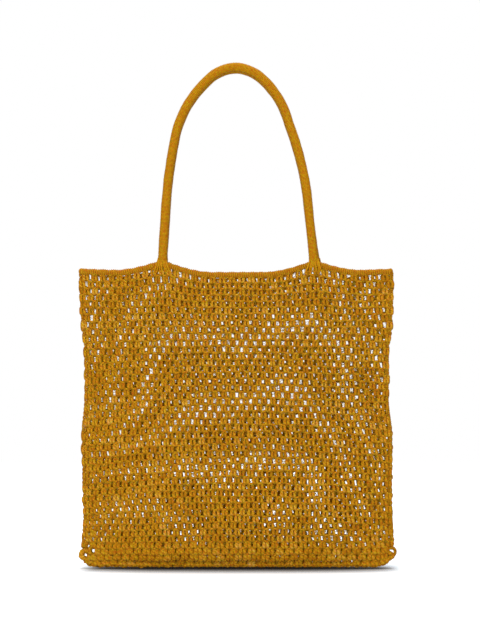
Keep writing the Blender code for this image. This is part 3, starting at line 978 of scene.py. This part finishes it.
def bars(panel, sizes, rows, random):
    """The net's bars: one strand along each row, in front of its own posts and behind the feet of
    the posts above, as a cosine of the stitch count."""
    row = np.arange(rows)[:, None] + 0.0
    front_col = np.linspace(0, sizes.columns, sizes.columns * BAR_STEPS + 1)[None, :]
    front_col = np.broadcast_to(front_col, (rows, front_col.shape[1]))
    front_row, drift = row + 0 * front_col, 0 * front_col
    if panel == "back":
        front_row, _, drift = lagged(front_row, front_col, 0, sizes)
    x, z = parted(*front_lattice(front_row, front_col, sizes))
    phase = (front_col - COLUMN_LAG * drift - 0.5 * (row % 2)) * 2 * math.pi
    wander = np.cumsum(random.normal(0, BAR_WANDER, x.shape), axis=1)
    half = WANDER_SPAN // 2
    total = np.cumsum(np.pad(wander, ((0, 0), (half + 1, half)), mode="edge"), axis=1)
    evened = (total[:, WANDER_SPAN:] - total[:, :-WANDER_SPAN]) / WANDER_SPAN
    z = z + (wander - evened) + BAR_WAVE * np.cos(phase)
    points = on_panel(panel, x, z, (0.10 - 0.27 * np.cos(phase)) * sizes.yarn)
    keep = (front_row.min(axis=1) < sizes.rows + 0.4) & (front_row.max(axis=1) > -1)
    radius = (sizes.bar_yarn / 2 * (1.0 - 0.12 * np.cos(phase)))[keep][..., None]
    rings = swept(points[keep], radius, radius, BAR_SIDES, False, (0.0, FACING[panel], 0.0))
    return rings, random.normal(0, BAR_SHADES, len(rings))


def fibres(panel, sizes, count, random):
    """Loose fibres across the holes: short straight lines at random places and slants."""
    row = random.uniform(-4, sizes.rows, count)
    col = random.uniform(-3, sizes.columns + 1, count)
    x, z, front_row, front_col = net_lattice(panel, row, col, sizes)
    inside = (front_row > 0.3) & (front_row < sizes.rows - 0.6)
    inside &= (front_col > FIBRE_MARGIN) & (front_col < sizes.columns - FIBRE_MARGIN)
    x, z = x[inside], z[inside]
    count = len(x)
    slant = random.uniform(0, math.pi, count)[:, None]
    length = random.uniform(*FIBRE_LENGTHS, count)[:, None]
    share = np.array([-0.5, 0.5])
    across = x[:, None] + np.cos(slant) * length * share
    upward = z[:, None] + np.sin(slant) * length * share
    out = random.uniform(*FIBRE_HEIGHTS, (count, 1)) * sizes.yarn + 0 * across
    points = on_panel(panel, across, upward, out)
    radius = np.full((count, 2, 1), sizes.fibre / 2)
    rings = swept(points, radius, radius, FIBRE_SIDES, False, (0.0, FACING[panel], 0.0))
    return rings, random.normal(FIBRE_SHADE, FIBRE_SHADES, count)


def plait(path, pitch, swing, thickness, yarn):
    """Three strands plaited along a path: each swings sideways by a sine of the length over the
    pitch and in depth by a sine of twice that, a third of a turn apart."""
    outward = (0.0, -1.0, 0.0)
    moves = np.linalg.norm(np.diff(path, axis=0), axis=1)
    along = np.concatenate([[0], np.cumsum(moves)])
    ahead = unit(np.gradient(path, axis=0))
    side = unit(np.cross(np.broadcast_to(outward, ahead.shape), ahead))
    turn = (along / pitch + np.arange(3)[:, None] / 3) * 2 * math.pi
    sway = (swing * np.sin(turn))[..., None] * side
    depth = (thickness * np.sin(2 * turn))[..., None] * np.cross(ahead, side)
    radius = np.full((3, len(path), 1), yarn / 2)
    return swept(path + sway + depth, radius, radius, CORD_SIDES, False, outward)


def yarn_loops(x, z, half_width, half_height, yarn, random):
    """Closed loops of yarn standing in the middle plane: ovals given by cosine and sine of one
    turn, twisted out of the plane by a sine of two turns."""
    angle = np.linspace(0, 2 * math.pi, LOOP_STEPS, endpoint=False)
    tilt = random.uniform(0, math.pi, len(x))[:, None]
    across = x[:, None] + half_width[:, None] * np.cos(angle)
    upward = z[:, None] + half_height * np.sin(angle)
    paths = np.stack([across, LOOP_TWIST * np.sin(2 * angle + tilt), upward], axis=-1)
    radius = np.full((len(x), len(angle), 1), yarn / 2)
    return swept(paths, radius, radius, CORD_SIDES, True, (0.0, -1.0, 0.0))


def rim_line(count):
    """The rim's centreline, evenly counted: along the front, round a corner, back and round."""
    turn = RIM_THICKNESS / 2 + RIM_TURN_RADIUS
    reach = BODY_WIDTH / 2 - RIM_THICKNESS / 2 - turn
    across = np.linspace(-1, 1, 400)
    angle = np.linspace(-math.pi / 2, math.pi / 2, 14)[1:-1]
    end_x, end_y = reach + turn * np.cos(angle), turn * np.sin(angle)
    front, back = -rim_half_depth("front", across), rim_half_depth("back", -across)
    x = np.concatenate([across * reach, end_x, -across * reach, -end_x])
    y = np.concatenate([front, end_y, back, -end_y])
    points = np.stack([x, y, rim_top(x) - RIM_HEIGHT / 2], axis=-1)
    ring = np.concatenate([points, points[:1]])
    along = np.concatenate([[0], np.cumsum(np.linalg.norm(np.diff(ring, axis=0), axis=1))])
    even = np.linspace(0, along[-1], count, endpoint=False)
    return np.stack([np.interp(even, along, ring[:, k]) for k in range(3)], axis=-1), along[-1]


def side_line(side, count):
    """A side seam's centreline, from the base's corner up into the rim."""
    height = np.linspace(0, 1, count)
    x = side_edge(side, height) - side * SEAM_WIDTH / 2 + SEAM_SHIFTS[side]
    low = base_bottom(x[0] + side * SEAM_WIDTH / 2) + SEAM_STARTS[side] * SEAM_WIDTH
    high = float(rim_top(x[-1])) - RIM_HEIGHT * 0.6
    return np.stack([x, 0 * x, low + height * (high - low)], axis=-1)


def base_line(count):
    """The base seam's centreline, from corner to corner."""
    share = np.linspace(-1, 1, count)
    left, right = float(side_edge(-1, 0.0)), float(side_edge(1, 0.0))
    x = (left + right) / 2 + share * (right - left) / 2 * 0.985
    return np.stack([x, 0 * x, base_bottom(x) + SEAM_WIDTH / 2], axis=-1)


def handle_line(panel, count):
    """The handle's centreline, evenly spaced from its left root to its right one."""
    height = column(HANDLE_ROWS, "height")
    left = column(HANDLE_ROWS, "left") * HANDLE_SPREAD / 2
    right = column(HANDLE_ROWS, "right") * HANDLE_SPREAD / 2
    top = HANDLE_DIAMETER / 2
    if panel == "back":
        right = right + BACK_ROOT_SHIFT * (1 - height) ** 6
        top = top - BACK_HANDLE_SAG
    feet = [float(rim_top(root_x(side))) + ROOT_START for side in (-1, 1)]
    rises = [foot + height * (top - foot) for foot in feet]
    chosen_x = np.concatenate([left, right[-2::-1]])
    chosen_z = np.concatenate([rises[0], rises[1][-2::-1]])
    along = np.concatenate([[0], np.cumsum(np.hypot(np.diff(chosen_x), np.diff(chosen_z)))])
    fine = np.linspace(0, along[-1], 6000)
    x, z = smooth_read(along, chosen_x, fine), smooth_read(along, chosen_z, fine)
    length = np.concatenate([[0], np.cumsum(np.hypot(np.diff(x), np.diff(z)))])
    even = np.linspace(0, length[-1], count)
    x, z = np.interp(even, length, x), np.interp(even, length, z)
    reach = BODY_WIDTH / 2 - RIM_THICKNESS - RIM_TURN_RADIUS
    foot_depth = [rim_half_depth(panel, root_x(side) / reach) for side in (-1, 1)]
    share = even / length[-1]
    foot = foot_depth[0] * (1 - share) + foot_depth[1] * share
    climb = ease((z - min(feet)) / (top - min(feet)))
    y = FACING[panel] * (foot + (HANDLE_DIAMETER / 2 + GAP / 2 - foot) * climb)
    return np.stack([x, y, z], axis=-1), even, length[-1]


def root_strands(panel, sizes, random):
    """Strands that fan out from each foot over the rim and down onto the net: straight lines whose
    spread grows with the way down, lifted clear of the rim by a cosine."""
    down = np.linspace(ROOT_START, ROOT_END, ROOT_STATIONS)
    share = (down - down[0]) / (down[-1] - down[0])
    paths = []
    for side in (-1, 1):
        middle = root_x(side) + (BACK_ROOT_SHIFT if panel == "back" and side > 0 else 0.0)
        fan = np.linspace(-1, 1, ROOT_STRANDS)[:, None] + random.normal(0, 0.05, (ROOT_STRANDS, 1))
        x = middle + fan * (FAN_START + FAN_GROWTH * share**1.3)
        z = rim_top(middle) - down - FAN_SAG * share * fan**2 + 0 * x
        rim_depth = rim_half_depth(panel, x / (BODY_WIDTH / 2))
        over = np.cos(np.clip((down - RIM_HEIGHT / 2) / 0.0075, -1, 1) * math.pi / 2)
        y = FACING[panel] * (rim_depth + ROOT_CLEAR + (RIM_THICKNESS / 2 + ROOT_OVER_RIM) * over)
        paths.append(np.stack([x, y, z], axis=-1))
    paths = np.concatenate(paths)
    radius = np.full((*paths.shape[:2], 1), sizes.root_yarn / 2)
    rings = swept(paths, radius, radius, CORD_SIDES, False, (0.0, 1.0, 0.0))
    return rings, random.normal(-0.1, 0.3, len(paths))


def wound_phase(forward, sides):
    """Phase of a yarn wound round a rope: turns forward at each station, less the share round it."""
    around = (np.arange(sides) + 0.5) / sides
    return (forward[:, None] - around[None, :]) * 2 * math.pi


class TOTE_OT_net(bpy.types.Operator):
    """Crochets the front and back nets in place of their CAD panels"""

    bl_idname = "tote.net"
    bl_label = "Make Net"

    def execute(self, context):
        sizes = context.scene.tote_net
        finish = yarn_finish("net_yarn_look", sizes.colour)
        rows = {"front": sizes.rows, "back": sizes.back_rows + BACK_SPARE_ROWS}
        for panel in ("front", "back"):
            plan = (
                ("posts", f"{panel}_panel", True, posts, rows[panel]),
                ("bars", None, False, bars, rows[panel] + 1),
                ("fibres", None, False, fibres, FIBRES[panel]),
            )
            for seed, (name, node, closed, make, count) in enumerate(plan, NET_SEEDS[panel]):
                rings, tones = make(panel, sizes, count, np.random.default_rng(seed))
                yarn_piece(f"{panel}_net_{name}", node, [rings], [tones], closed, finish)
        return {"FINISHED"}


class TOTE_OT_rim(bpy.types.Operator):
    """Winds the rope-like rim in place of its CAD band"""

    bl_idname = "tote.rim"
    bl_label = "Make Rim"

    def execute(self, context):
        sizes = context.scene.tote_edges
        finish = yarn_finish("rim_yarn_look", sizes.colour)
        line, length = rim_line(RIM_STATIONS)
        share = np.arange(RIM_STATIONS) / RIM_STATIONS
        phase = wound_phase(share * round(length / sizes.rim_winding), RIM_SIDES)
        fuller = RIM_FULLER * np.exp(-(((line[:, 0] - RIM_FULLER_X) / RIM_FULLER_REACH) ** 2))
        turn = share * 2 * math.pi
        lumps = RIM_LUMPS * np.sin(RIM_LUMP_COUNT * turn + 2 * np.sin(RIM_LUMP_DRIFT * turn)) + fuller
        grow = RIM_RIDGE * np.cos(phase) + lumps[:, None]
        side_radius, lift_radius = RIM_THICKNESS / 2 + grow, RIM_HEIGHT / 2 + grow
        rings = swept(line[None], side_radius[None], lift_radius[None], RIM_SIDES, True, (0.0, 0.0, 1.0))
        # Painted shade: the tone is lowest in the valleys between the wound turns, where the ridges'
        # cosine is least
        groove = sizes.rim_groove_shade * (np.cos(phase) - 1)
        yarn_piece("rim_rope", "rim_band", [rings], [groove[None]], True, finish)
        return {"FINISHED"}


class TOTE_OT_seams(bpy.types.Operator):
    """Plaits the side seams and the base, with loops along them and round the corners' holes"""

    bl_idname = "tote.seams"
    bl_label = "Make Seams"

    def execute(self, context):
        sizes = context.scene.tote_edges
        finish = yarn_finish("seam_yarn_look", sizes.colour)
        routes = {
            "left_side": (side_line(-1, PLAITS["left_side"].stations), sizes.left_pitch),
            "right_side": (side_line(1, PLAITS["right_side"].stations), sizes.right_pitch),
            "base": (base_line(PLAITS["base"].stations), sizes.base_pitch),
        }
        for name, (line, pitch) in routes.items():
            look = PLAITS[name]
            rings = plait(line, pitch, look.swing, look.depth, look.fullness * sizes.yarn)
            tones, node = [np.array(look.shades)], f"{name}_seam"
            yarn_piece(f"{name}_plait", node, [rings], tones, False, finish)
        random = np.random.default_rng(SCALLOP_SEED)
        grids, tones = [], []
        for side, pitch, stand in ((-1, sizes.left_pitch, 0.0004), (1, sizes.right_pitch, 0.0008)):
            count = int(BODY_HEIGHT * LOOPED_SHARE / pitch)
            height = 0.05 + (np.arange(count) + 0.7) / (count + 0.3) * LOOPED_SHARE
            height = height + random.normal(0, 0.004, count)
            x = side_edge(side, height) - side * SIDE_LOOP_INSET
            x = x + side * random.normal(stand, 0.0005, count)
            low = base_bottom(x) + 0.5 * SEAM_WIDTH
            z = low + height * (rim_top(x) - RIM_HEIGHT - low)
            wide = random.normal(SIDE_LOOP_WIDTH, 0.0003, count)
            grids.append(yarn_loops(x, z, wide, pitch * SIDE_LOOP_SHARE, sizes.yarn, random))
            tones.append(random.normal(0, 0.4, count))
        count = round(BODY_WIDTH / sizes.base_pitch)
        x = np.linspace(-LOOPED_SHARE, LOOPED_SHARE, count) * BODY_WIDTH / 2
        x = x + random.normal(0, 0.0008, count)
        z = base_bottom(x) + BASE_LOOP_RISE - np.abs(random.normal(0.0, 0.0003, count))
        wide = np.full(count, BASE_LOOP_WIDTH)
        grids.append(yarn_loops(x, z, wide, BASE_LOOP_HEIGHT, sizes.yarn * 0.9, random))
        tones.append(random.normal(-0.1, 0.4, count))
        x, z, wide, full = [column(EAR_HOLES, name) for name in ("x", "z", "loop", "fullness")]
        doubled = column(EAR_HOLES, "doubled") > 0
        for grow, chosen, tone in ((1.0, slice(None), 0.1), (1.3, doubled, -0.2)):
            size = wide[chosen] * grow
            yarn = (sizes.yarn * full)[chosen][:, None, None]
            grids.append(yarn_loops(x[chosen], z[chosen], size, 1.04 * size[:, None], yarn, random))
            tones.append(np.full(len(size), tone))
        yarn_piece("edge_loops", None, grids, tones, True, finish)
        return {"FINISHED"}


class TOTE_OT_handles(bpy.types.Operator):
    """Winds both handles and stitches their feet down over the rim"""

    bl_idname = "tote.handles"
    bl_label = "Make Handles"

    def execute(self, context):
        sizes = context.scene.tote_handles
        finish = yarn_finish("handle_yarn_look", sizes.colour)
        for panel, seed in (("front", 5), ("back", 6)):
            random = np.random.default_rng(seed)
            line, along, length = handle_line(panel, HANDLE_STATIONS)
            phase = wound_phase(along / sizes.winding, HANDLE_SIDES)
            bends = random.normal(0, HANDLE_WOBBLE, 70)
            wobble = np.interp(along, np.linspace(0, length, len(bends)), bends)
            flare = np.clip(1 - np.minimum(along, length - along) / FLARE_REACH, 0, 1)[:, None] ** 1.8
            radius = sizes.diameter / 2 + wobble[:, None] + sizes.ridge * np.cos(phase)
            side_radius, lift_radius = radius + FLARE * flare, radius * (1 - FLARE_FLATTENING * flare)
            rings = swept(
                line[None], side_radius[None], lift_radius[None], HANDLE_SIDES, False, (0.0, 1.0, 0.0)
            )
            # Painted shade: the tone is lowest in the valleys between the wound turns
            tones = [(sizes.groove * (np.cos(phase) - 1))[None]]
            node = f"{panel}_handle"
            yarn_piece(f"{node}_winding", node, [rings], tones, False, finish)
            rings, tones = root_strands(panel, sizes, random)
            yarn_piece(f"{node}_root_stitches", None, [rings], [tones], False, finish)
        return {"FINISHED"}


def floor_finish(levels):
    """Pale paint that looks paler to the camera than its light makes it, with a contact shadow:
    ambient occlusion raised to a power, fading out beyond the bag's corners."""
    paint = bpy.data.materials.new("pale_floor")
    paint.use_nodes = True
    tree = paint.node_tree
    tree.nodes.remove(tree.nodes["Principled BSDF"])
    near = add_node(tree, "AmbientOcclusion", {"Distance": levels.contact_reach}, samples=12)
    place = add_node(tree, "TexCoord").outputs["Object"]
    x = add_node(tree, "SeparateXYZ", {0: place}).outputs[0]
    from_middle = add_math(tree, "ABSOLUTE", add_math(tree, "SUBTRACT", x, SHADOW_MIDDLE))
    span = {"Value": from_middle, "From Min": SHADOW_FADE_START, "From Max": SHADOW_FADE_END}
    fade = add_node(tree, "MapRange", span, interpolation_type="SMOOTHSTEP")
    shaded = add_math(tree, "POWER", near.outputs["AO"], levels.contact_depth)
    opened = add_math(tree, "MAXIMUM", shaded, fade.outputs["Result"])
    seen_pale = add_math(tree, "MULTIPLY_ADD", opened, levels.floor_gain, -FLOOR_SHADE)
    by_camera = add_node(tree, "LightPath").outputs["Is Camera Ray"]
    pale = add_math(tree, "MULTIPLY_ADD", by_camera, seen_pale, FLOOR_SHADE)
    cooled = add_node(tree, "VectorMath", {0: pale, 1: FLOOR_TINT}, operation="MULTIPLY")
    shader = add_node(tree, "BsdfDiffuse", {"Color": cooled.outputs[0]})
    tree.links.new(shader.outputs[0], tree.nodes["Material Output"].inputs["Surface"])
    return paint


def studio_world(levels):
    """Soft, slightly warm light from all round, which the camera sees as plain white."""
    world = bpy.data.worlds.new("studio")
    world.use_nodes = True
    tree = world.node_tree
    sky = tree.nodes["Background"]
    fill_inputs(tree, sky, {"Color": SKY_COLOUR, "Strength": levels.sky})
    white = add_node(tree, "Background", {"Color": (1.0, 1.0, 1.0, 1.0), "Strength": 1.0})
    by_camera = add_node(tree, "LightPath").outputs["Is Camera Ray"]
    mix = add_node(tree, "MixShader", {0: by_camera, 1: sky.outputs[0], 2: white.outputs[0]})
    tree.links.new(mix.outputs[0], tree.nodes["World Output"].inputs["Surface"])
    return world


class TOTE_OT_stage(bpy.types.Operator):
    """Sets the pale floor, the soft studio light and the camera"""

    bl_idname = "tote.stage"
    bl_label = "Make Stage"

    def execute(self, context):
        scene = context.scene
        levels = scene.tote_stage
        scene.view_settings.view_transform = "Standard"
        scene.view_settings.look = "None"
        scene.world = studio_world(levels)
        mesh = bpy.data.meshes.new("floor")
        corners = np.array([(-1, -1), (1, -1), (1, 1), (-1, 1)]) * FLOOR_REACH
        mesh.from_pydata([(x, y, FLOOR_HEIGHT) for x, y in corners], [], [(0, 1, 2, 3)])
        mesh.materials.append(floor_finish(levels))
        add_object("floor", mesh)
        for plan in LAMPS:
            data = bpy.data.lights.new(f"{plan.level}_lamp", "AREA")
            data.shape = "DISK"
            data.size = plan.size
            data.energy = getattr(levels, plan.level)
            lamp = add_object(data.name, data)
            lamp.location = plan.place
            aim = np.array(LAMP_TARGET) - plan.place
            tilt = math.atan2(math.hypot(aim[0], aim[1]), -aim[2])
            lamp.rotation_euler = (tilt, 0.0, math.atan2(aim[1], aim[0]) - math.pi / 2)
        data = bpy.data.cameras.new("camera")
        data.sensor_width = SENSOR_WIDTH
        data.lens = SENSOR_WIDTH * -CAMERA_PLACE[1] / CAMERA_FIELD
        data.clip_start, data.clip_end = 0.05, 50.0
        camera = add_object("camera", data)
        camera.location = CAMERA_PLACE
        camera.rotation_euler = (math.pi / 2, 0.0, 0.0)
        scene.camera = camera
        return {"FINISHED"}


class TOTE_PT_sidebar(bpy.types.Panel):
    """The bag's sizes and the buttons that make its pieces"""

    bl_idname = "TOTE_PT_sidebar"
    bl_label = "Tote Bag"
    bl_space_type = "VIEW_3D"
    bl_region_type = "UI"
    bl_category = "Tote Bag"

    def draw(self, context):
        for group in GROUPS:
            box = self.layout.box()
            settings = getattr(context.scene, group)
            for name in settings.bl_rna.properties.keys():
                if name not in ("rna_type", "name"):
                    box.prop(settings, name)
        for operator in OPERATORS:
            self.layout.operator(operator.bl_idname)


GROUPS = {
    "tote_net": NetSizes,
    "tote_edges": EdgeSizes,
    "tote_handles": HandleSizes,
    "tote_stage": StageLevels,
}
OPERATORS = (TOTE_OT_stage, TOTE_OT_net, TOTE_OT_rim, TOTE_OT_seams, TOTE_OT_handles)


def register():
    """Registers the classes and gives the scene its settings."""
    for kind in (*GROUPS.values(), *OPERATORS, TOTE_PT_sidebar):
        bpy.utils.register_class(kind)
    for name, kind in GROUPS.items():
        setattr(bpy.types.Scene, name, PointerProperty(type=kind))


def unregister():
    """Takes the settings and the classes away again."""
    for name in GROUPS:
        delattr(bpy.types.Scene, name)
    for kind in reversed((*GROUPS.values(), *OPERATORS, TOTE_PT_sidebar)):
        bpy.utils.unregister_class(kind)


def main():
    """Makes every piece."""
    register()
    bpy.ops.tote.stage()
    bpy.ops.tote.net()
    bpy.ops.tote.rim()
    bpy.ops.tote.seams()
    bpy.ops.tote.handles()


if __name__ == "__main__":
    main()
